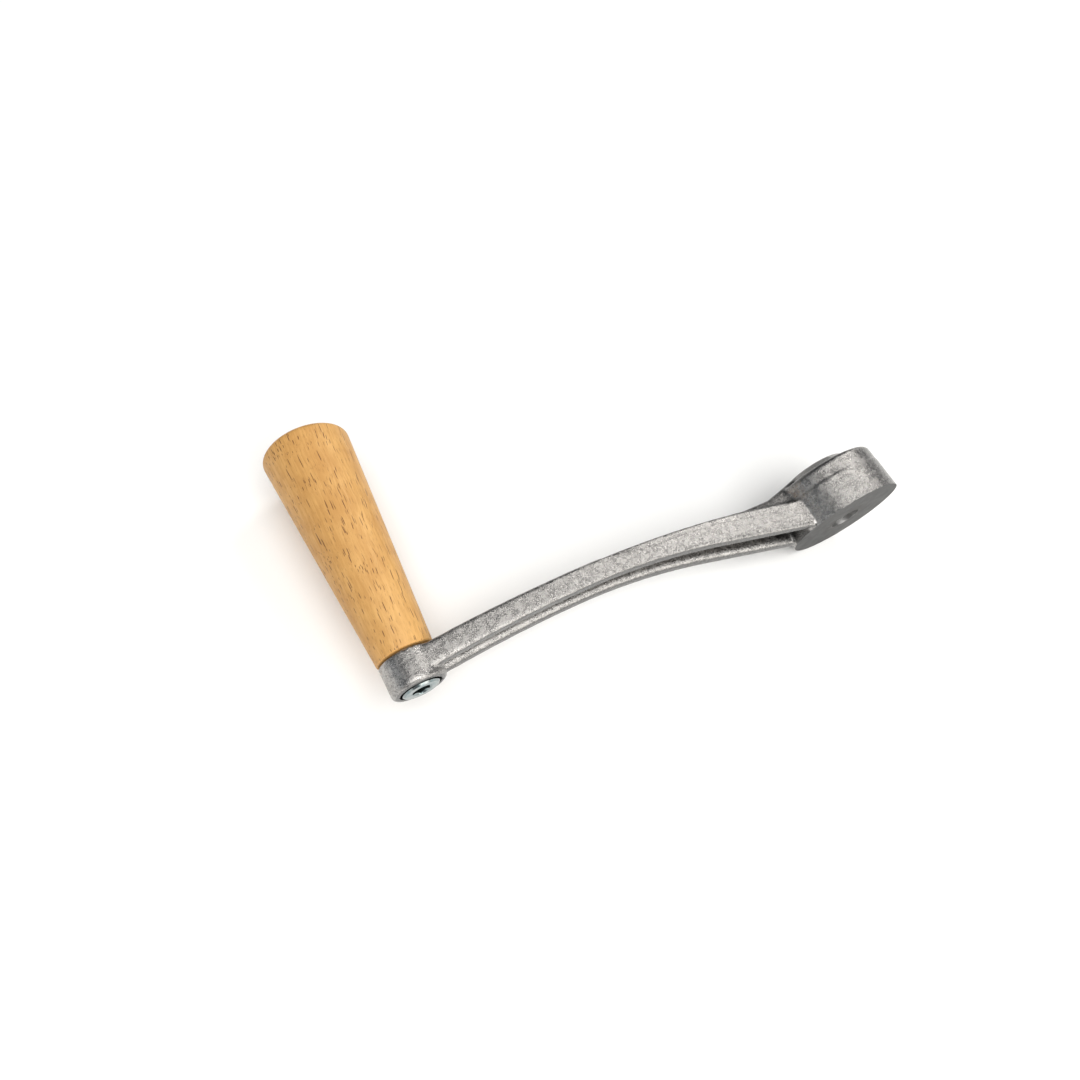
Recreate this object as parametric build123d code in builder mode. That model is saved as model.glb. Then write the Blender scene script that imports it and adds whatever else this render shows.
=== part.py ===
from build123d import *
from math import cos, radians, sqrt
import os

# Hand crank: a cast arm with a bored hub at one end and, at the other, a wooden grip that spins on
# a screw. X runs from the bore to the grip's axis, and both axes lie along Y, with the grip on
# the -Y side. "height" is a distance from the hub's machined face towards the grip, along -Y.

# ---- casting ----
crankLength = 178.0        # bore axis to grip axis
hubDiameter = 45.0
hubHeight = 19.2
hubRounding = 2.0          # outer edge on the grip side
collarTopDiameter = 26.0   # raised collar round the bore on the grip side
collarRise = 3.4
collarSlope = 3.6          # how much wider the collar is at its foot, on each side
collarRounding = 1.5
boreDiameter = 12.0
boreChamfer = 0.6          # on the grip side only
eyeDiameter = 19.4
eyeTop = 20.5              # height of the face that the grip turns against
eyeThickness = 11.4
eyeRounding = 1.5
crownFromEye = 65.0        # highest place of the arched arm, measured back from the grip's axis
crownTop = 22.6
crownBottom = 15.0
backEyeDrop = 3.0          # how far the back falls from the crown to the grip's axis
backTurnX = 45.0           # where the back's arc gives way to a straight run down to the hub
backArcDrop = 5.3          # how far the back falls from the crown to that place
shoulderSlope = 0.2        # fall of the straight run, beside the ridge
bellyEyeDrop = 3.8
bellyTurnX = 59.0
bellyArcDrop = 5.9
bellySlope = 0.22
hubHalfWidth = 9.7         # half the arm's width where it leaves the hub
eyeHalfWidth = 9.0
flangeWall = 4.4           # side walls of the channel
channelDraft = 4.0         # lean of those walls' inner faces, in degrees
webThickness = 3.0
channelRadius = 1.5        # where the channel's floor meets its walls
mouthRadius = 1.8          # inner edges of the channel's mouth
bellyEdgeRadius = 0.8
backEdgeRadius = 1.2
hubBite = 1.2              # how far the arm's lower edge starts inside the hub's rim

# ---- ridge that carries the arm's back up to the collar ----
ridgeFoot = 52.0           # where it leaves the arm's back
ridgeValley = 30.0         # where it starts to climb
valleyHeight = 18.0
ridgeHalfWidth = 4.5       # at the height of the collar's top
ridgeFootHalfWidth = 9.2   # at the height of its foot, inside the arm's sides
ridgeEdgeRadius = 1.4

# ---- screw, an M8 hexagon socket head cap screw ----
threadDiameter = 8.0
tipProud = 1.0             # how far its end stands out of the nut, which makes it 85 mm long
headDiameter = 13.0
headHeight = 8.0
headChamfer = 0.6
headProud = 0.7            # how far the head stands out of the eye
socketAcrossFlats = 6.0
socketDepth = 4.2
tipChamfer = 0.9
headClearance = 0.7        # radial, head to counterbore
screwClearance = 0.25      # radial, screw to the parts that it passes through

# ---- grip and its bearing ----
gripLength = 85.0
gripSmallDiameter = 19.8
gripLargeDiameter = 31.8
gripSmallRounding = 0.7
gripLargeRounding = 2.2
tubeDiameter = 11.0
spinClearance = 0.05       # radial, grip on tube
endPlay = 0.15             # axial, at each end of the grip
thrustThickness = 0.5
thrustDiameter = 16.0
nutPocketDiameter = 18.0
nutPocketDepth = 15.5
endWasherDiameter = 16.0
endWasherThickness = 1.6
nutAcrossFlats = 13.0
nutHeight = 8.0
nutRingHeight = 2.2        # nylon insert
nutRingDiameter = 11.2
nutLip = 0.5               # nut metal round and over the insert
nutChamfer = 0.7

# ---- worked out ----
hubRadius = hubDiameter / 2
eyeRadius = eyeDiameter / 2
collarTop = hubHeight + collarRise
boreRadius = boreDiameter / 2
eyeBottom = eyeTop - eyeThickness
crownX = crankLength - crownFromEye
screwFace = eyeBottom - headProud
headSeat = screwFace + headHeight
tubeStart = eyeTop + thrustThickness
gripStart = tubeStart + endPlay
gripEnd = gripStart + gripLength
tubeEnd = gripEnd - nutPocketDepth + endPlay
nutStart = tubeEnd + endWasherThickness
nutEnd = nutStart + nutHeight
screwLength = nutEnd + tipProud - headSeat
passRadius = threadDiameter / 2 + screwClearance

side = Plane(origin=(0, 0, 0), x_dir=(1, 0, 0), z_dir=(0, 0, -1))   # X and height
gripAxis = Axis((crankLength, 0, 0), (0, -1, 0))


def across(height):
    """Plane square to both axes, at a height, facing the grip's end."""
    return Plane.XZ.offset(height)


def isRound(edge, radius):
    """True of a full or part circle of this radius."""
    return edge.geom_type == GeomType.CIRCLE and abs(edge.radius - radius) < 0.01


# ---- side view of the arm: a crown, an arc to each side of it, then straight to the hub ----
crownLow = (crownX, crownBottom)
crownHigh = (crownX, crownTop)
bellyEnd = (crankLength, crownBottom - bellyEyeDrop)
backEnd = (crankLength, crownTop - backEyeDrop)
bellyTurn = (bellyTurnX, crownBottom - bellyArcDrop)
backTurn = (backTurnX, crownTop - backArcDrop)
bellyFoot = hubRadius - hubBite
bellyStart = (bellyFoot, bellyTurn[1] - bellySlope * (bellyTurnX - bellyFoot))
shoulderEnd = (0, backTurn[1] - shoulderSlope * backTurnX)

backArcReach = crownX - backTurnX
backArcRadius = (backArcReach ** 2 + backArcDrop ** 2) / (2 * backArcDrop)
ridgeDrop = backArcRadius - sqrt(backArcRadius ** 2 - (crownX - ridgeFoot) ** 2)
ridgeStart = (ridgeFoot, crownTop - ridgeDrop)
ridgeEnd = (collarTopDiameter / 2 - collarRounding, collarTop)
flankFoot = shoulderEnd[1]


def planCorners(inset):
    """Corners of the arm in plan, drawn in from its sides by inset."""
    atHub = hubHalfWidth - inset
    atEye = eyeHalfWidth - inset
    return [(0, -atHub), (crankLength, -atEye), (crankLength, atEye), (0, atHub)]


def lengthwise(faces, facing):
    """Edges that run along the faces looking towards +Y (facing 1) or -Y (facing -1)."""
    looking = faces.filter_by(lambda f: f.normal_at().Y * facing > 0.5)
    return looking.edges().filter_by(Axis.Z, reverse=True)


# the hollow under the arm, open towards the machine; its floor runs webThickness inside the back
with BuildPart() as channel:
    with BuildSketch(side):
        with BuildLine():
            floorCrown = (crownX, crownTop - webThickness)
            floorHub = (0, shoulderEnd[1] - webThickness)
            floorTurn = (backTurn[0], backTurn[1] - webThickness)
            floorEye = (crankLength, backEnd[1] - webThickness)
            TangentArc(floorCrown, floorEye, tangent=(1, 0))
            Polyline(floorEye, (crankLength, -channelRadius), (0, -channelRadius), floorHub, floorTurn)
            TangentArc(floorCrown, floorTurn, tangent=(-1, 0))
        make_face()
    extrude(amount=hubRadius, both=True)
    with BuildSketch(across(-channelRadius)):
        Polygon(*planCorners(flangeWall), align=None)
    extrude(amount=channelRadius + crownTop, taper=channelDraft, mode=Mode.INTERSECT)
    fillet(lengthwise(channel.faces(), -1), channelRadius)

# ridge, narrow at the top and nearly as wide as the arm at its foot
with BuildPart() as ridge:
    with BuildSketch(side):
        Polygon(
            ridgeStart, (ridgeValley, valleyHeight), ridgeEnd, (0, collarTop), (0, flankFoot),
            (ridgeFoot, flankFoot), align=None,
        )
    extrude(amount=hubRadius, both=True)
    with BuildSketch(Plane.YZ):
        Polygon(
            (-flankFoot, -ridgeFootHalfWidth), (-collarTop, -ridgeHalfWidth),
            (-collarTop, ridgeHalfWidth), (-flankFoot, ridgeFootHalfWidth), align=None,
        )
    extrude(amount=ridgeFoot, mode=Mode.INTERSECT)
    fillet(lengthwise(ridge.faces(), -1), ridgeEdgeRadius)

# hub with its collar, before boring
with BuildPart() as hub:
    with BuildSketch(across(0)):
        Circle(hubRadius)
    extrude(amount=hubHeight)
    fillet(hub.edges().group_by(Axis.Y)[0], hubRounding)
    with BuildSketch(across(hubHeight)):
        Circle(collarTopDiameter / 2 + collarSlope)
    with BuildSketch(across(collarTop)):
        Circle(collarTopDiameter / 2)
    loft()
    fillet(hub.edges().group_by(Axis.Y)[0], collarRounding)

# eye, before boring
with BuildPart() as eye:
    with BuildSketch(across(eyeBottom)):
        with Locations((crankLength, 0)):
            Circle(eyeRadius)
    extrude(amount=eyeThickness)
    fillet(eye.edges().group_by(Axis.Y)[-1], eyeRounding)

with BuildPart() as crank_arm:
    with BuildSketch(side):
        with BuildLine():
            TangentArc(crownLow, bellyTurn, tangent=(-1, 0))
            Polyline(bellyTurn, bellyStart, (0, bellyStart[1]), shoulderEnd, backTurn)
            TangentArc(crownHigh, backTurn, tangent=(-1, 0))
            TangentArc(crownHigh, backEnd, tangent=(1, 0))
            Line(backEnd, bellyEnd)
            TangentArc(crownLow, bellyEnd, tangent=(1, 0))
        make_face()
    extrude(amount=hubRadius, both=True)
    with BuildSketch(across(0)):
        Polygon(*planCorners(0), align=None)
    extrude(amount=crownTop, mode=Mode.INTERSECT)
    fillet(lengthwise(crank_arm.faces(), 1), bellyEdgeRadius)
    fillet(lengthwise(crank_arm.faces(), -1), backEdgeRadius)
    add(ridge.part)
    add(channel.part, mode=Mode.SUBTRACT)
    wallFaces = crank_arm.faces().filter_by(lambda f: abs(f.center().Z) > eyeHalfWidth - flangeWall)
    mouthEdges = lengthwise(wallFaces, 1).filter_by(lambda e: abs(e.center().Z) < eyeHalfWidth - flangeWall / 2)
    fillet(mouthEdges, mouthRadius)
    add(hub.part)
    add(eye.part)
    with BuildSketch(across(0)):
        Circle(boreRadius)
    extrude(amount=collarTop, mode=Mode.SUBTRACT)
    boreEdges = crank_arm.edges().filter_by(lambda e: isRound(e, boreRadius))
    chamfer(boreEdges.group_by(Axis.Y)[0], boreChamfer)
    with BuildSketch(across(eyeBottom)):
        with Locations((crankLength, 0)):
            Circle(headDiameter / 2 + headClearance)
    extrude(amount=headSeat - eyeBottom, mode=Mode.SUBTRACT)
    with BuildSketch(across(headSeat)):
        with Locations((crankLength, 0)):
            Circle(passRadius)
    extrude(amount=eyeTop - headSeat, mode=Mode.SUBTRACT)

# ---- screw ----
with BuildPart() as grip_screw:
    with BuildSketch(across(screwFace)):
        with Locations((crankLength, 0)):
            Circle(headDiameter / 2)
    extrude(amount=headHeight)
    chamfer(grip_screw.edges().group_by(Axis.Y)[-1], headChamfer)
    with BuildSketch(across(headSeat)):
        with Locations((crankLength, 0)):
            Circle(threadDiameter / 2)
    extrude(amount=screwLength)
    chamfer(grip_screw.edges().group_by(Axis.Y)[0], tipChamfer)
    with BuildSketch(across(screwFace)):
        with Locations((crankLength, 0)):
            RegularPolygon(socketAcrossFlats / 2, 6, major_radius=False)
    extrude(amount=socketDepth, mode=Mode.SUBTRACT)


def ring(innerRadius, outerRadius, start, end):
    """A plain ring on the grip's axis between two heights."""
    with BuildPart() as turned:
        with BuildSketch(across(start)):
            with Locations((crankLength, 0)):
                Circle(outerRadius)
                Circle(innerRadius, mode=Mode.SUBTRACT)
        extrude(amount=end - start)
    return turned


# ---- bearing ----
thrust_washer = ring(passRadius, thrustDiameter / 2, eyeTop, tubeStart)
bearing_tube = ring(passRadius, tubeDiameter / 2, tubeStart, tubeEnd)
end_washer = ring(passRadius, endWasherDiameter / 2, tubeEnd, nutStart)

# ---- grip ----
with BuildPart() as grip:
    with BuildSketch(side):
        with BuildLine():
            Polyline(
                (crankLength, gripStart), (crankLength + gripSmallDiameter / 2, gripStart),
                (crankLength + gripLargeDiameter / 2, gripEnd), (crankLength, gripEnd), close=True,
            )
        make_face()
    revolve(axis=gripAxis)
    fillet(grip.edges().group_by(Axis.Y)[0], gripLargeRounding)
    fillet(grip.edges().group_by(Axis.Y)[-1], gripSmallRounding)
    with BuildSketch(across(gripStart)):
        with Locations((crankLength, 0)):
            Circle(tubeDiameter / 2 + spinClearance)
    extrude(amount=gripLength, mode=Mode.SUBTRACT)
    with BuildSketch(across(gripEnd - nutPocketDepth)):
        with Locations((crankLength, 0)):
            Circle(nutPocketDiameter / 2)
    extrude(amount=nutPocketDepth, mode=Mode.SUBTRACT)

# ---- lock nut ----
hexEnd = nutEnd - nutRingHeight
cornerRadius = nutAcrossFlats / 2 / cos(radians(30))

with BuildPart() as lock_nut:
    with BuildSketch(across(nutStart)):
        with Locations((crankLength, 0)):
            Circle(cornerRadius)
    extrude(amount=hexEnd - nutStart)
    chamfer(lock_nut.edges(), nutChamfer)
    with BuildSketch(across(nutStart)):
        with Locations((crankLength, 0)):
            RegularPolygon(nutAcrossFlats / 2, 6, major_radius=False)
    extrude(amount=hexEnd - nutStart, mode=Mode.INTERSECT)
    with BuildSketch(across(hexEnd)):
        with Locations((crankLength, 0)):
            Circle(nutRingDiameter / 2 + nutLip)
    extrude(amount=nutRingHeight)
    with BuildSketch(across(nutStart)):
        with Locations((crankLength, 0)):
            Circle(threadDiameter / 2)
    extrude(amount=nutHeight, mode=Mode.SUBTRACT)
    with BuildSketch(across(hexEnd)):
        with Locations((crankLength, 0)):
            Circle(nutRingDiameter / 2)
    extrude(amount=nutRingHeight - nutLip, mode=Mode.SUBTRACT)
    with BuildSketch(across(nutEnd - nutLip)):
        with Locations((crankLength, 0)):
            Circle(nutRingDiameter / 2 - nutLip)
    extrude(amount=nutLip, mode=Mode.SUBTRACT)
nut_ring = ring(threadDiameter / 2, nutRingDiameter / 2, hexEnd, nutEnd - nutLip)

# ---- write one file per piece ----
pieces = {
    "crank_arm": crank_arm,
    "grip_screw": grip_screw,
    "thrust_washer": thrust_washer,
    "bearing_tube": bearing_tube,
    "grip": grip,
    "end_washer": end_washer,
    "lock_nut": lock_nut,
    "nut_ring": nut_ring,
}
os.makedirs("parts", exist_ok=True)
for name, piece in pieces.items():
    piece.part.label = name
    export_step(piece.part, f"parts/{name}.step")
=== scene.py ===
import math

import bmesh
import bpy
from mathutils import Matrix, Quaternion, Vector


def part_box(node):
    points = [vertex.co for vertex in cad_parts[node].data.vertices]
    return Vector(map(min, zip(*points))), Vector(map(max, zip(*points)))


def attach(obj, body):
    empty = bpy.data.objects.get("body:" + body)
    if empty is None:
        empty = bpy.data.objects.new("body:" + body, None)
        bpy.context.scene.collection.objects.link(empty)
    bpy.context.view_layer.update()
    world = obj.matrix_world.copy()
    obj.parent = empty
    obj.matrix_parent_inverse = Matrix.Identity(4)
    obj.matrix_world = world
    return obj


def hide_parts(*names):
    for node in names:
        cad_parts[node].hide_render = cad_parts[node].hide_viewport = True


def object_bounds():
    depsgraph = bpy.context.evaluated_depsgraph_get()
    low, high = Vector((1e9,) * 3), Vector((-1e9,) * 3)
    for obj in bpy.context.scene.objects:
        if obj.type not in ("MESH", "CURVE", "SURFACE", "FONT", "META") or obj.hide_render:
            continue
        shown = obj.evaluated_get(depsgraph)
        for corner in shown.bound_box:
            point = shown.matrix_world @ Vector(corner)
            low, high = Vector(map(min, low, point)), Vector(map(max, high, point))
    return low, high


# Hand crank: cast arm with a bored hub, wooden grip that spins on a socket head screw.
# X runs from the bore to the grip's axis, both axes lie along Y, the grip is on the -Y side.

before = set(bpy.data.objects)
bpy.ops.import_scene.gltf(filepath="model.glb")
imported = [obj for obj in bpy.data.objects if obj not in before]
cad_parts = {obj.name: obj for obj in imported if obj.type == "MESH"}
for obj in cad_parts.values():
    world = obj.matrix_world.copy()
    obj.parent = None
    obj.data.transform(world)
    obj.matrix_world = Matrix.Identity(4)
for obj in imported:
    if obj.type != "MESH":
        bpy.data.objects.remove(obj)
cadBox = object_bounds()
print("frame loaded")


# bench tools
def clearSelection():
    if bpy.context.object and bpy.context.object.mode != "OBJECT":
        bpy.ops.object.mode_set(mode="OBJECT")
    bpy.ops.object.select_all(action="DESELECT")


def takeUp(piece):
    clearSelection()
    piece.select_set(True)
    bpy.context.view_layer.objects.active = piece


def editPiece(piece, kind="FACE"):
    takeUp(piece)
    bpy.ops.object.mode_set(mode="EDIT")
    bpy.ops.mesh.select_mode(type=kind)
    bpy.ops.mesh.select_all(action="DESELECT")


def pick(piece, parts, test):
    # choose vertices, edges or faces of the piece being edited by their place
    mesh = bmesh.from_edit_mesh(piece.data)
    for part in getattr(mesh, parts):
        if test(part):
            part.select_set(True)
    bmesh.update_edit_mesh(piece.data)


def putDown():
    bpy.ops.object.mode_set(mode="OBJECT")
    clearSelection()


def applyModifier(piece, kind, **settings):
    takeUp(piece)
    modifier = piece.modifiers.new(kind.title(), kind)
    for setting, value in settings.items():
        setattr(modifier, setting, value)
    bpy.ops.object.modifier_apply(modifier=modifier.name)


def named(piece, name):
    piece.name = name
    piece.data.name = name
    bpy.ops.object.transform_apply(location=True, rotation=True, scale=True)
    return piece


def softShade(piece, degrees=35):
    takeUp(piece)
    bpy.ops.object.shade_smooth_by_angle(angle=math.radians(degrees))
    clearSelection()


def turned(name, axisX, outline, segments, closed=True):
    # drive a ring of edges along an outline of (radius, y) points, as on a lathe
    clearSelection()
    radius, y = outline[0]
    bpy.ops.mesh.primitive_circle_add(
        vertices=segments, radius=radius, fill_type="NOTHING",
        location=(axisX, y, 0), rotation=(math.pi / 2, 0, 0))
    piece = named(bpy.context.active_object, name)
    editPiece(piece, "EDGE")
    bpy.ops.mesh.select_all(action="SELECT")
    if not closed:
        bpy.ops.mesh.edge_face_add()
        bpy.ops.mesh.select_all(action="SELECT")
    for nextRadius, nextY in outline[1:] + (outline[:1] if closed else []):
        step = {"value": (0, nextY - y, 0)}
        if closed:
            bpy.ops.mesh.extrude_edges_move(TRANSFORM_OT_translate=step)
        else:
            bpy.ops.mesh.extrude_region_move(TRANSFORM_OT_translate=step)
        ratio = nextRadius / radius
        bpy.ops.transform.resize(value=(ratio, 1, ratio), center_override=(axisX, nextY, 0))
        radius, y = nextRadius, nextY
    bpy.ops.mesh.select_all(action="SELECT")
    bpy.ops.mesh.remove_doubles(threshold=1e-7)
    bpy.ops.mesh.normals_make_consistent(inside=False)
    putDown()
    return piece


def bevelCircle(piece, axisX, radius, y, size, segments):
    # ease one round edge of a turned piece
    near = 2e-5  # how closely an edge has to follow the circle

    def onCircle(edge):
        return all(
            abs(v.co.y - y) < near and abs(math.hypot(v.co.x - axisX, v.co.z) - radius) < near
            for v in edge.verts)

    editPiece(piece, "EDGE")
    pick(piece, "edges", onCircle)
    bpy.ops.mesh.bevel(offset=size, segments=segments, affect="EDGES")
    putDown()


def cut(piece, tool, operation="DIFFERENCE"):
    applyModifier(piece, "BOOLEAN", object=tool, operation=operation, solver="EXACT")
    bpy.data.objects.remove(tool)


# shader wiring
class Wire:
    # one socket of a material, usable in sums
    def __init__(self, finish, socket):
        self.finish = finish
        self.socket = socket

    def maths(self, operation, first, second):
        return self.finish.add("ShaderNodeMath", {"operation": operation}, {0: first, 1: second})

    def __add__(self, other):
        return self.maths("ADD", self, other)

    def __sub__(self, other):
        return self.maths("SUBTRACT", self, other)

    def __rsub__(self, other):
        return self.maths("SUBTRACT", other, self)

    def __mul__(self, other):
        return self.maths("MULTIPLY", self, other)

    def __truediv__(self, other):
        return self.maths("DIVIDE", self, other)

    def __rtruediv__(self, other):
        return self.maths("DIVIDE", other, self)

    def __gt__(self, other):
        return self.maths("GREATER_THAN", self, other)

    def __lt__(self, other):
        return self.maths("LESS_THAN", self, other)

    __radd__ = __add__
    __rmul__ = __mul__


class Finish:
    # a material being mixed
    def __init__(self, name, **fixed):
        self.material = bpy.data.materials.new(name)
        self.material.use_nodes = True
        self.nodes = self.material.node_tree.nodes
        self.links = self.material.node_tree.links
        self.shader = self.nodes["Principled BSDF"]
        for socket, value in fixed.items():
            self.put(self.shader.inputs[socket.replace("_", " ")], value)

    def put(self, socket, value):
        if isinstance(value, Wire):
            self.links.new(value.socket, socket)
        else:
            socket.default_value = value

    def add(self, kind, settings, sockets, out=0):
        node = self.nodes.new(kind)
        for name, value in settings.items():
            setattr(node, name, value)
        for name, value in sockets.items():
            self.put(node.inputs[name], value)
        return Wire(self, node.outputs[out])

    def place(self, centre=(0, 0, 0), turn=(0, 0, 0), scale=(1, 1, 1)):
        spot = self.add("ShaderNodeTexCoord", {}, {}, "Object")
        moved = self.add("ShaderNodeVectorMath", {"operation": "SUBTRACT"}, {0: spot, 1: centre})
        return self.add("ShaderNodeMapping", {}, {"Vector": moved, "Rotation": turn, "Scale": scale})

    def noise(self, place, scale, detail=2.0, roughness=0.5):
        return self.add("ShaderNodeTexNoise", {}, {
            "Vector": place, "Scale": scale, "Detail": detail, "Roughness": roughness}, "Fac")

    def ease(self, value, low, high, atLow=0.0, atHigh=1.0):
        return self.add("ShaderNodeMapRange", {"interpolation_type": "SMOOTHSTEP"}, {
            "Value": value, "From Min": low, "From Max": high, "To Min": atLow, "To Max": atHigh})

    def blend(self, factor, first, second):
        return self.add(
            "ShaderNodeMix", {"data_type": "RGBA"}, {"Factor": factor, 6: first, 7: second}, 2)

    def bump(self, height, distance):
        normal = self.add("ShaderNodeBump", {}, {"Height": height, "Distance": distance})
        self.put(self.shader.inputs["Normal"], normal)

    def set(self, socket, value):
        self.put(self.shader.inputs[socket], value)


def grey(level, warm=0.0):
    return (level * (1 + warm), level, level * (1 - warm), 1)


# finishes
middling = (0.3, 0.7)  # the span that most of a noise's values fall in


def castAluminium():
    # as-cast skin: fine pebbles, soft mottling, cleaner metal on the high spots; painted shade in
    # patches wherever the mesh attribute marks recesses and under faces
    skin = {
        "dark": grey(0.19, 0.03), "light": grey(0.45, 0.035), "paintedShade": grey(0.06),
        "pebble": 2300.0, "lump": 690.0, "mottle": 420.0,
        "pebbleShare": 0.65, "worn": (0.4, 0.6), "paintedShadePatches": (0.25, 0.6, 0.75, 1.0),
        "roughness": (0.2, 0.34), "lumpShare": 0.3, "pebbleDepth": 0.00014,
    }
    finish = Finish("castAluminium", Metallic=1.0)
    spot = finish.place()
    pebbles = finish.noise(spot, skin["pebble"], 3.0, 0.6)
    lumps = finish.noise(spot, skin["lump"])
    mottle = finish.noise(spot, skin["mottle"], 4.0, 0.6)
    worn = finish.ease(
        pebbles * skin["pebbleShare"] + mottle * (1 - skin["pebbleShare"]), *skin["worn"])
    metal = finish.blend(worn, skin["dark"], skin["light"])
    # painted shade: the mesh attribute read here darkens recesses and under faces towards a
    # near-black colour, in patches
    paintedShade = finish.add("ShaderNodeAttribute", {"attribute_name": "paintedShade"}, {}, "Fac")
    patches = finish.ease(mottle, *skin["paintedShadePatches"])
    finish.set("Base Color", finish.blend(paintedShade * patches, metal, skin["paintedShade"]))
    finish.set("Roughness", finish.ease(mottle, *middling, *skin["roughness"]))
    finish.bump(pebbles + lumps * skin["lumpShare"], skin["pebbleDepth"])
    return finish.material


def machinedAluminium():
    # faced and bored metal: fine rings round the bore, a faint stain near it, and a painted
    # highlight that makes the bore wall far lighter than the face
    turnedFace = {
        "base": grey(0.14, 0.01), "stain": grey(0.1, 0.08), "stainRadius": 0.0105,
        "stainFade": 0.002, "stainStrength": 0.8, "stainWander": 0.003, "smear": 260.0,
        "bore": grey(0.55, 0.01), "boreRadius": 0.006, "boreEdge": 0.0001,
        "ringPitch": 0.0004, "roughness": (0.3, 0.42), "smearShare": 0.4, "ringDepth": 0.000008,
    }
    finish = Finish("machinedAluminium", Metallic=1.0, Specular_Tint=grey(0.5))
    spot = finish.place()
    flat = finish.add("ShaderNodeVectorMath", {"operation": "MULTIPLY"}, {0: spot, 1: (1, 0, 1)})
    radius = finish.add("ShaderNodeVectorMath", {"operation": "LENGTH"}, {0: flat}, "Value")
    alongRadius = finish.add("ShaderNodeCombineXYZ", {}, {"X": radius})
    rings = finish.noise(alongRadius, 1 / turnedFace["ringPitch"])
    smear = finish.noise(spot, turnedFace["smear"], 4.0)
    stain = finish.ease(
        radius + smear * turnedFace["stainWander"],
        turnedFace["stainRadius"] + turnedFace["stainFade"], turnedFace["stainRadius"],
        0.0, turnedFace["stainStrength"])
    faced = finish.blend(stain * smear, turnedFace["base"], turnedFace["stain"])
    # painted highlight: the bore wall is coloured far lighter than the faced metal around it
    inBore = finish.ease(
        radius, turnedFace["boreRadius"] + turnedFace["boreEdge"], turnedFace["boreRadius"])
    finish.set("Base Color", finish.blend(inBore, faced, turnedFace["bore"]))
    finish.set("Roughness", finish.ease(smear, *middling, *turnedFace["roughness"]))
    finish.bump(rings + smear * turnedFace["smearShare"], turnedFace["ringDepth"])
    return finish.material


def plated(name, colour, rough=0.26, tint=(0.42, 0.55, 0.58, 1)):
    # zinc over steel: bright, faintly blue-green, with a soft patchy bloom
    zinc = {
        "bloom": 420.0, "bloomSpan": (0.42, 0.68, 0.0, 0.75), "fine": 3800.0, "fineShare": 0.3,
        "roughSpan": (0.4, 0.9), "roughRise": 0.16, "depth": 0.000006,
    }
    finish = Finish(name, Metallic=1.0)
    spot = finish.place()
    bloom = finish.noise(spot, zinc["bloom"], 4.0, 0.6)
    fine = finish.noise(spot, zinc["fine"])
    finish.set("Base Color", finish.blend(finish.ease(bloom, *zinc["bloomSpan"]), colour, tint))
    finish.set("Roughness", finish.ease(
        bloom + fine * zinc["fineShare"], *zinc["roughSpan"], rough, rough + zinc["roughRise"]))
    finish.bump(fine + bloom, zinc["depth"])
    return finish.material


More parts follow.
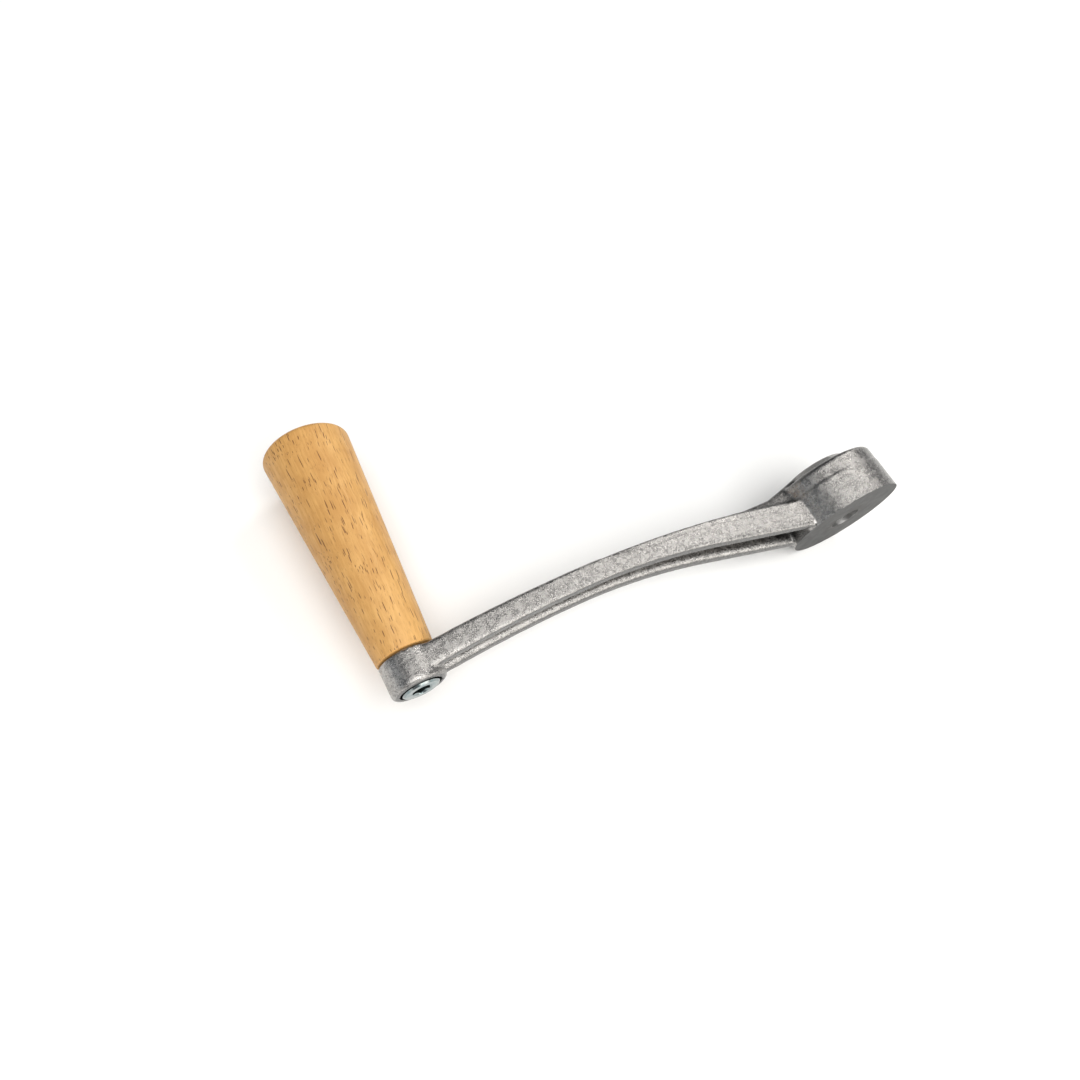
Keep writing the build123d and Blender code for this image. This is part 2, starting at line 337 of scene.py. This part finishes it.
def beech(axisX):
    # tan wood with short dark ray flecks along the grain
    wood = {
        "pale": (0.72, 0.41, 0.135, 1), "deep": (0.53, 0.27, 0.075, 1),
        "fleck": (0.13, 0.043, 0.012, 1), "tilt": math.radians(2.5),
        "wander": 90.0, "wanderReach": 0.0016,
        "bands": (55, 7, 30), "fibre": (1500, 70, 900), "pores": (5200, 420, 5200), "cloud": 130.0,
        "bandShare": 0.5, "fibreShare": 0.28, "cloudShare": 0.22, "toneSpan": (0.36, 0.64),
        "poreSpan": (0.56, 0.78, 0.0, 0.28),
        # flecks: cells per metre each way, share of cells left empty, size within a cell
        "largeFlecks": ((2700.0, 110.0, 2300.0), 0.62, 0.36), "largeStrength": 0.95,
        "smallFlecks": ((2100.0, 300.0, 700.0), 0.72, 0.32), "smallStrength": 0.28,
        "fleckEdge": 0.75, "leastLength": 0.45, "lengthSpread": 0.75,
        "roughness": (0.46, 0.62), "fibreRise": 0.35, "largeDip": 1.2, "smallDip": 0.4,
        "poreDip": 0.3, "depth": 0.00005,
    }
    finish = Finish("beech")
    spot = finish.place((axisX, 0, 0), (0, 0, wood["tilt"]))
    wander = finish.noise(spot, wood["wander"])
    aside = finish.add("ShaderNodeCombineXYZ", {}, {"X": wander - 0.5, "Z": wander - 0.5})
    lean = finish.add(
        "ShaderNodeVectorMath", {"operation": "SCALE"}, {0: aside, "Scale": wood["wanderReach"]})
    bent = finish.add("ShaderNodeVectorMath", {"operation": "ADD"}, {0: spot, 1: lean})

    def stretched(scale):
        return finish.add("ShaderNodeVectorMath", {"operation": "MULTIPLY"}, {0: bent, 1: scale})

    def flecks(cell, share, size):
        cells = {"Vector": stretched(cell), "Scale": 1.0}
        reach = finish.add("ShaderNodeTexVoronoi", {}, cells, "Distance")
        chance = finish.add("ShaderNodeTexVoronoi", {}, cells, "Color")
        draw = finish.add("ShaderNodeSeparateColor", {}, {"Color": chance}, "Red")
        length = finish.add("ShaderNodeSeparateColor", {}, {"Color": chance}, "Green")
        scaled = reach / (wood["leastLength"] + length * wood["lengthSpread"])
        return finish.ease(scaled, size, size * wood["fleckEdge"]) * (draw > share)

    bands = finish.noise(stretched(wood["bands"]), 1.0, 3.0, 0.55)
    fibre = finish.noise(stretched(wood["fibre"]), 1.0, 3.0, 0.6)
    pores = finish.noise(stretched(wood["pores"]), 1.0, 1.0)
    cloud = finish.noise(spot, wood["cloud"], 3.0)
    large = flecks(*wood["largeFlecks"])
    small = flecks(*wood["smallFlecks"])
    tone = finish.ease(
        bands * wood["bandShare"] + fibre * wood["fibreShare"] + cloud * wood["cloudShare"],
        *wood["toneSpan"])
    body = finish.blend(tone, wood["pale"], wood["deep"])
    body = finish.blend(finish.ease(pores, *wood["poreSpan"]), body, wood["fleck"])
    body = finish.blend(small * wood["smallStrength"], body, wood["fleck"])
    body = finish.blend(large * wood["largeStrength"], body, wood["fleck"])
    finish.set("Base Color", body)
    finish.set("Roughness", finish.ease(fibre, *middling, *wood["roughness"]))
    grain = fibre * wood["fibreRise"] - large * wood["largeDip"] - small * wood["smallDip"]
    finish.bump(grain - pores * wood["poreDip"], wood["depth"])
    return finish.material


def nylon():
    insert = {
        "pale": (0.78, 0.8, 0.82, 1), "shade": (0.62, 0.66, 0.7, 1), "cloud": 500.0,
        "roughness": (0.38, 0.55), "depth": 0.00002,
    }
    finish = Finish("nylonInsert", Subsurface_Weight=0.15)
    cloud = finish.noise(finish.place(), insert["cloud"], 3.0)
    finish.set("Base Color", finish.blend(
        finish.ease(cloud, *middling), insert["pale"], insert["shade"]))
    finish.set("Roughness", finish.ease(cloud, *middling, *insert["roughness"]))
    finish.bump(cloud, insert["depth"])
    return finish.material


def drawnSteel():
    # bearing tube: drawn lines along its length
    tube = {
        "dark": grey(0.36), "light": grey(0.5, 0.02), "lines": (3200, 60, 3200),
        "roughness": (0.24, 0.4), "depth": 0.000008,
    }
    finish = Finish("drawnSteel", Metallic=1.0)
    lines = finish.noise(finish.place(scale=tube["lines"]), 1.0, 3.0)
    finish.set("Base Color", finish.blend(
        finish.ease(lines, *middling), tube["dark"], tube["light"]))
    finish.set("Roughness", finish.ease(lines, *middling, *tube["roughness"]))
    finish.bump(lines, tube["depth"])
    return finish.material


def wearFinish(piece, *finishes):
    piece.data.materials.clear()
    for material in finishes:
        piece.data.materials.append(material)


# camera, floor and light
camera = {
    "place": Vector((0.22273, 0.05387, 0.25344)), "aim": Vector((0.11713, -0.04029, 0.0)),
    "roll": 22.02, "lens": 27.11, "sensor": 36.0,
}


def setCamera():
    data = bpy.data.cameras.new("camera")
    data.lens = camera["lens"]
    data.sensor_width = camera["sensor"]
    data.clip_start = 0.01
    data.clip_end = 20
    holder = bpy.data.objects.new("camera", data)
    bpy.context.scene.collection.objects.link(holder)
    holder.rotation_mode = "QUATERNION"
    holder.location = camera["place"]
    level = (camera["aim"] - camera["place"]).to_track_quat("-Z", "Y")
    holder.rotation_quaternion = level @ Quaternion((0, 0, 1), math.radians(camera["roll"]))
    bpy.context.scene.camera = holder


setCamera()
print("camera set")

studio = {
    "floorSize": 6.0, "middle": (0.1, 0.0), "floorColour": (0.94, 0.94, 0.935, 1),
    "fibreColour": grey(0.8), "fibre": 900.0, "fibreSpan": (0.2, 0.8, 0.0, 0.04),
    "sky": (0.21, 0.215, 0.225, 1), "lampAim": Vector((0.1, -0.03, 0)),
    "lamps": (
        # name, place, size, watts, colour
        ("overheadSoftbox", (0.32, 0.55, 1.5), (1.6, 1.5), 30.0, (1.0, 0.99, 0.965)),
        ("sideSoftbox", (-1.0, -0.65, 1.3), (0.6, 0.8), 9.0, (1.0, 0.985, 0.955)),
        ("backSoftbox", (-0.7, 1.7, 0.6), (2.0, 0.9), 17.0, (1.0, 0.98, 0.93)),
        ("rightFill", (1.9, -0.3, 0.5), (0.4, 1.2), 2.0, (0.88, 0.95, 1.0)),
    ),
}


def setStudio():
    clearSelection()
    lowest = cadBox[0].z
    bpy.ops.mesh.primitive_plane_add(size=studio["floorSize"], location=(*studio["middle"], lowest))
    floor = named(bpy.context.active_object, "floor")
    paper = Finish("floorPaper", Roughness=0.9, Specular_IOR_Level=0.1)
    fibres = paper.ease(paper.noise(paper.place(), studio["fibre"], 3.0), *studio["fibreSpan"])
    paper.set("Base Color", paper.blend(fibres, studio["floorColour"], studio["fibreColour"]))
    wearFinish(floor, paper.material)

    world = bpy.data.worlds.new("studio")
    world.use_nodes = True
    world.node_tree.nodes["Background"].inputs["Color"].default_value = studio["sky"]
    bpy.context.scene.world = world
    for name, place, size, watts, colour in studio["lamps"]:
        lamp = bpy.data.lights.new(name, "AREA")
        lamp.shape = "RECTANGLE"
        lamp.size, lamp.size_y = size
        lamp.energy = watts
        lamp.color = colour
        holder = bpy.data.objects.new(name, lamp)
        bpy.context.scene.collection.objects.link(holder)
        holder.location = place
        aim = studio["lampAim"] - holder.location
        holder.rotation_euler = aim.to_track_quat("-Z", "Y").to_euler()
    bpy.context.scene.view_settings.view_transform = "Standard"


setStudio()
print("studio lit")


# casting
casting = {
    "weld": 1e-6, "voxel": 0.00046, "faceSpare": 0.0014,
    # smoothing: strength of each pass, passes over the skin, passes over the joins
    "smoothing": 0.5, "skinPasses": 3, "joinPasses": 14,
    "boreRadius": 0.006, "seatRadius": 0.0072,
    "boreKeep": 0.0012, "seatKeep": 0.0005, "faceKeep": 0.0006,  # metal left sharp beside a cut
    "boreBand": 0.0006, "seatBand": 0.0003, "faceBand": 2e-5, "facing": 0.9,  # what was machined
    # parting seam: distance along the arm, height above the machined face
    "seam": (
        (-0.03, 0.0125), (0.0225, 0.0125), (0.0334, 0.0112), (0.0418, 0.0131), (0.0584, 0.0164),
        (0.0689, 0.0178), (0.086, 0.0187), (0.106, 0.0225), (0.2, 0.03)),
    "seamStep": 0.0002, "skinGrain": 0.0022, "skinDepth": 0.00006,
    # painted shade: how strong it is on each sort of face, and where those faces are
    "underShade": 4.0, "underFacing": 0.8,
    "flankShade": 0.7, "flankStart": 0.0005, "flankEnd": 0.05, "flankRise": 2,
    "pocketShade": 0.8, "pocketX": 0.022, "pocketReach": 0.012, "pocketHalfWidth": 0.0055,
    # places where the arm flows into the hub and the eye: x, reach
    "hubJoin": (0.0208, 0.0042), "eyeJoin": (0.1675, 0.0060), "joinRise": 1.6,
}


def seamHeight(x):
    points = casting["seam"]
    for (x0, h0), (x1, h1) in zip(points, points[1:]):
        if x <= x1:
            return h0 + (h1 - h0) * (x - x0) / (x1 - x0)
    return points[-1][1]


def paintGroup(piece, name, weight):
    group = piece.vertex_groups.new(name=name)
    for vertex in piece.data.vertices:
        share = weight(vertex.co)
        if share > 0:
            group.add([vertex.index], share, "REPLACE")
    return name


def paintedShadeShare(vertex):
    # painted shade: darker colour laid on the recesses, the flanks above the seam and the faces
    # towards the machine
    co = vertex.co
    under = max(0, vertex.normal.y - casting["underFacing"]) * casting["underShade"]
    flank = 0
    if casting["flankStart"] < co.x < casting["flankEnd"] and -co.y > seamHeight(co.x):
        upward = max(0, -vertex.normal.y) * casting["flankRise"]
        flank = casting["flankShade"] * min(1, upward)
    pocket = 0
    if abs(co.z) < casting["pocketHalfWidth"]:
        pocket = max(0, 1 - abs(co.x - casting["pocketX"]) / casting["pocketReach"])
    return min(1, under + flank + pocket * casting["pocketShade"])


def makeCasting():
    axisX = sum(c.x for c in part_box("grip")) / 2
    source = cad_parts["crank_arm"]
    piece = bpy.data.objects.new("crankCasting", source.data.copy())
    bpy.context.scene.collection.objects.link(piece)
    piece.data.name = "crankCasting"
    wearFinish(piece)

    # weld the copy and leave spare metal on the machined face
    editPiece(piece, "VERT")
    bpy.ops.mesh.select_all(action="SELECT")
    bpy.ops.mesh.remove_doubles(threshold=casting["weld"])
    bpy.ops.mesh.select_all(action="DESELECT")
    pick(piece, "verts", lambda v: v.co.y > -casting["weld"])
    bpy.ops.transform.translate(value=(0, casting["faceSpare"], 0))
    putDown()
    applyModifier(
        piece, "REMESH", mode="VOXEL", voxel_size=casting["voxel"], use_smooth_shade=True)

    def bored(co):
        atBore = math.hypot(co.x, co.z) < casting["boreRadius"] + casting["boreKeep"]
        atSeat = math.hypot(co.x - axisX, co.z) < casting["seatRadius"] + casting["seatKeep"]
        return atBore or atSeat

    def joinShare(co):
        share = 0
        for middle, reach in (casting["hubJoin"], casting["eyeJoin"]):
            share = max(share, 1 - abs(co.x - middle) / reach)
        if bored(co) or abs(co.y) <= casting["faceKeep"]:
            share = 0
        return min(1, share * casting["joinRise"])

    def upperShare(co):
        return 1 if -co.y > seamHeight(co.x) and not bored(co) else 0

    skin = paintGroup(piece, "skin", lambda co: 0 if bored(co) else 1)
    joins = paintGroup(piece, "joins", joinShare)
    for passes, group in ((casting["skinPasses"], skin), (casting["joinPasses"], joins)):
        applyModifier(
            piece, "SMOOTH", factor=casting["smoothing"], iterations=passes, vertex_group=group)

    # the upper mould half sits a hair proud, which leaves the seam
    upper = paintGroup(piece, "upperHalf", upperShare)
    applyModifier(
        piece, "DISPLACE", strength=-casting["seamStep"], mid_level=0.0, vertex_group=upper)
    sand = bpy.data.textures.new("sand", "CLOUDS")
    sand.noise_scale = casting["skinGrain"]
    sand.noise_depth = 2
    applyModifier(
        piece, "DISPLACE", texture=sand, texture_coords="LOCAL", strength=casting["skinDepth"],
        mid_level=0.5, vertex_group=skin)

    # face the hub off flat
    editPiece(piece, "FACE")
    bpy.ops.mesh.select_all(action="SELECT")
    bpy.ops.mesh.bisect(plane_co=(0, 0, 0), plane_no=(0, 1, 0), use_fill=True, clear_outer=True)
    bpy.ops.mesh.select_all(action="DESELECT")
    putDown()
    wearFinish(piece, castAluminium(), machinedAluminium())
    for face in piece.data.polygons:
        co = face.center
        onFace = co.y > -casting["faceBand"] and face.normal.y > casting["facing"]
        inBore = math.hypot(co.x, co.z) < casting["boreRadius"] + casting["boreBand"]
        inSeat = math.hypot(co.x - axisX, co.z) < casting["seatRadius"] + casting["seatBand"]
        face.material_index = 1 if onFace or inBore or inSeat else 0
    # painted shade: each vertex gets its share of darkening for recesses and under faces
    paintedShade = piece.data.attributes.new("paintedShade", "FLOAT", "POINT")
    paintedShade.data.foreach_set("value", [paintedShadeShare(vertex) for vertex in piece.data.vertices])
    softShade(piece, 40)
    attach(piece, "crank")
    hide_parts("crank_arm")
    return piece


crankCasting = makeCasting()
print("casting done,", len(crankCasting.data.polygons), "faces")


# grip
grip = {
    "smallRadius": 0.0099, "largeRadius": 0.0159, "bore": 0.00555,
    "pocketRadius": 0.009, "pocketDepth": 0.0155,
    # rounded edges: size and steps
    "largeEase": (0.0022, 8), "smallEase": (0.0007, 4), "pocketEase": (0.0004, 3),
    "segments": 128, "rings": 8,
}


def makeGrip():
    low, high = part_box("grip")
    axisX = (low.x + high.x) / 2
    start, end = high.y, low.y
    floorY = end + grip["pocketDepth"]
    outline = [(grip["bore"], start), (grip["smallRadius"], start)]
    for ring in range(1, grip["rings"]):
        share = ring / grip["rings"]
        outline.append((
            grip["smallRadius"] + (grip["largeRadius"] - grip["smallRadius"]) * share,
            start + (end - start) * share))
    outline += [
        (grip["largeRadius"], end), (grip["pocketRadius"], end),
        (grip["pocketRadius"], floorY), (grip["bore"], floorY),
    ]
    piece = turned("beechGrip", axisX, outline, grip["segments"])
    bevelCircle(piece, axisX, grip["largeRadius"], end, *grip["largeEase"])
    bevelCircle(piece, axisX, grip["smallRadius"], start, *grip["smallEase"])
    bevelCircle(piece, axisX, grip["pocketRadius"], end, *grip["pocketEase"])
    wearFinish(piece, beech(axisX))
    softShade(piece, 40)
    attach(piece, "grip")
    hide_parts("grip")


makeGrip()
print("grip turned")


toolProud = 0.001  # how far a cutting tool stands off the face it enters


def hexCorner(halfAcross):
    return halfAcross / math.cos(math.radians(30))


# screw
screw = {
    "headRadius": 0.0065, "headEase": 0.0006, "headHeight": 0.008, "seatEase": (0.0002, 0.0006),
    "neck": (0.0003, 0.0004), "shankRadius": 0.004,
    "socketAcross": 0.006, "socketDepth": 0.0042, "pointDepth": 0.0012, "pointRadius": 0.0001,
    "mouthEase": 0.0007, "socketSpare": 0.00005, "socketSegments": 48,
    # thread: how far down each turn the root starts and ends and the crest starts
    "threadPitch": 0.00125, "threadLength": 0.028, "threadDepth": 0.00062,
    "rootStart": 0.42, "rootEnd": 0.55, "crestStart": 0.94, "crestWear": 0.00003,
    "tipEase": 0.0009, "tipStep": 0.0001,
    # knurl: flutes round the head, plain bands above and below them, rib width and depth
    "flutes": 54, "plainTop": 0.0016, "plainFoot": 0.0008, "ribEdge": 0.00005,
    "fluteDepth": 0.00014, "outermost": 0.99,
    "colour": (0.3, 0.33, 0.33, 1), "roughness": 0.12, "tint": (0.14, 0.22, 0.24, 1),
}


def makeScrew():
    low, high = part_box("grip_screw")
    axisX = (low.x + high.x) / 2
    face, tip = high.y, low.y
    seat = face - screw["headHeight"]
    threadStart = tip + screw["threadLength"]
    shank, pitch = screw["shankRadius"], screw["threadPitch"]
    core = shank - screw["threadDepth"]
    crest = shank - screw["crestWear"]
    knurlTop = face - screw["plainTop"]
    seatIn, seatUp = screw["seatEase"]
    neckOut, neckDown = screw["neck"]
    outline = [
        (screw["headRadius"] - screw["headEase"], face),
        (screw["headRadius"], face - screw["headEase"]),
        (screw["headRadius"], knurlTop),
        (screw["headRadius"], seat + seatUp),
        (screw["headRadius"] - seatIn, seat),
        (shank + neckOut, seat),
        (shank, seat - neckDown),
        (shank, threadStart),
    ]
    turns = int((screw["threadLength"] - screw["tipEase"]) / pitch)
    for turn in range(turns):
        y = threadStart - turn * pitch
        outline += [
            (core, y - pitch * screw["rootStart"]), (core, y - pitch * screw["rootEnd"]),
            (crest, y - pitch * screw["crestStart"]), (crest, y - pitch),
        ]
    outline += [(core, tip + screw["tipStep"]), (core - screw["tipStep"], tip)]
    piece = turned("gripScrew", axisX, outline, screw["flutes"] * 2, closed=False)

    # straight knurl round the head
    def fluted(part):
        middle = part.calc_center_median()
        reach = math.hypot(middle.x - axisX, middle.z)
        step = math.atan2(middle.z, middle.x - axisX) / (math.pi / screw["flutes"])
        onHead = (
            reach > screw["headRadius"] * screw["outermost"]
            and seat + screw["plainFoot"] < middle.y < knurlTop)
        return onHead and math.floor(step) % 2 == 0

    editPiece(piece, "FACE")
    pick(piece, "faces", fluted)
    bpy.ops.mesh.inset(
        thickness=screw["ribEdge"], depth=-screw["fluteDepth"], use_individual=True)
    putDown()

    # hexagon socket with a drilled point and an eased mouth
    clearSelection()
    across = screw["socketAcross"] / 2
    depth = screw["socketDepth"]
    bpy.ops.mesh.primitive_cylinder_add(
        vertices=6, radius=hexCorner(across), depth=depth * 2,
        location=(axisX, face, 0), rotation=(math.pi / 2, 0, 0))
    cut(piece, named(bpy.context.active_object, "hexTool"))
    mouth = across + screw["mouthEase"]
    drilled = across - screw["socketSpare"]
    point = turned("pointTool", axisX, [
        (mouth, face + toolProud), (mouth, face), (drilled, face - screw["mouthEase"]),
        (drilled, face - depth), (screw["pointRadius"], face - depth - screw["pointDepth"]),
    ], screw["socketSegments"], closed=False)
    cut(piece, point)
    wearFinish(piece, plated("zincScrew", screw["colour"], screw["roughness"], screw["tint"]))
    softShade(piece, 30)
    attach(piece, "crank")
    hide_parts("grip_screw")


makeScrew()
print("screw cut")


# washers, tube and lock nut
hardware = {
    "passRadius": 0.00425, "thrustRadius": 0.008, "tubeRadius": 0.0055, "washerRadius": 0.008,
    "washerEase": 0.00018, "thrustEase": 0.0001, "tubeEase": 0.0003, "bulge": 0.3, "segments": 72,
    "colour": (0.6, 0.61, 0.6, 1), "roughness": 0.3, "tint": (0.5, 0.55, 0.5, 1),
}


def makeRing(node, name, outer, inner, ease, finish):
    low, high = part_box(node)
    axisX = (low.x + high.x) / 2
    top, bottom = high.y, low.y
    bulge = ease * hardware["bulge"]
    outline = [
        (inner + ease, top), (outer - ease, top), (outer - bulge, top - bulge), (outer, top - ease),
        (outer, bottom + ease), (outer - bulge, bottom + bulge), (outer - ease, bottom),
        (inner + ease, bottom), (inner, bottom + ease), (inner, top - ease),
    ]
    piece = turned(name, axisX, outline, hardware["segments"])
    wearFinish(piece, finish)
    softShade(piece, 35)
    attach(piece, "crank")
    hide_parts(node)


washerZinc = plated("zincWasher", hardware["colour"], hardware["roughness"], hardware["tint"])
makeRing(
    "thrust_washer", "thrustWasher", hardware["thrustRadius"], hardware["passRadius"],
    hardware["thrustEase"], washerZinc)
makeRing(
    "end_washer", "endWasher", hardware["washerRadius"], hardware["passRadius"],
    hardware["washerEase"], washerZinc)
makeRing(
    "bearing_tube", "bearingTube", hardware["tubeRadius"], hardware["passRadius"],
    hardware["tubeEase"], drawnSteel())
print("washers and tube done")

nut = {
    "across": 0.013, "ease": 0.0007, "easeDrop": 0.55, "cornerSpare": 0.00001,
    "ringHeight": 0.0022, "ringRadius": 0.0056, "ringEase": 0.00015, "lip": 0.0005,
    # collar: how far it reaches into the body, its shoulder's depth, width of its rim, its roll
    "collarRoot": 0.0004, "collarDrop": 0.0006, "rimWidth": 0.0006, "rimRoll": 0.00018,
    "threadRadius": 0.004, "threadEase": 0.0004, "lipEase": 0.00015, "through": 0.0001,
    "segments": 96, "colour": (0.62, 0.64, 0.63, 1), "roughness": 0.28,
}


def makeNut():
    low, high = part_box("lock_nut")
    axisX = (low.x + high.x) / 2
    base, top = high.y, low.y
    shoulder = top + nut["ringHeight"]
    corner = hexCorner(nut["across"] / 2)
    clearSelection()
    bpy.ops.mesh.primitive_cylinder_add(
        vertices=6, radius=corner, depth=base - shoulder,
        location=(axisX, (base + shoulder) / 2, 0), rotation=(math.pi / 2, 0, 0))
    piece = named(bpy.context.active_object, "lockNut")
    wide, narrow = corner + nut["cornerSpare"], corner - nut["ease"]
    drop = nut["ease"] * nut["easeDrop"]
    cut(piece, turned("chamferTool", axisX, [
        (narrow, base), (wide, base - drop), (wide, shoulder + drop), (narrow, shoulder),
    ], nut["segments"], closed=False), "INTERSECT")
    outer, inner = nut["ringRadius"] + nut["lip"], nut["ringRadius"] - nut["lip"]
    cut(piece, turned("collarTool", axisX, [
        (outer, shoulder + nut["collarRoot"]), (outer, top + nut["collarDrop"]),
        (outer - nut["rimRoll"], top + nut["rimRoll"]), (outer - nut["rimWidth"], top),
    ], nut["segments"], closed=False), "UNION")
    thread, lipY = nut["threadRadius"], top + nut["lip"]
    cut(piece, turned("hollowTool", axisX, [
        (thread + nut["threadEase"], base + nut["through"]), (thread, base - nut["threadEase"]),
        (thread, shoulder), (nut["ringRadius"], shoulder), (nut["ringRadius"], lipY),
        (inner, lipY), (inner + nut["lipEase"], top - nut["through"]),
    ], nut["segments"], closed=False))
    wearFinish(piece, plated("zincNut", nut["colour"], nut["roughness"]))
    softShade(piece, 30)
    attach(piece, "crank")
    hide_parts("lock_nut")


makeNut()
makeRing(
    "nut_ring", "nutRing", nut["ringRadius"], nut["threadRadius"],
    nut["ringEase"], nylon())
print("lock nut done")
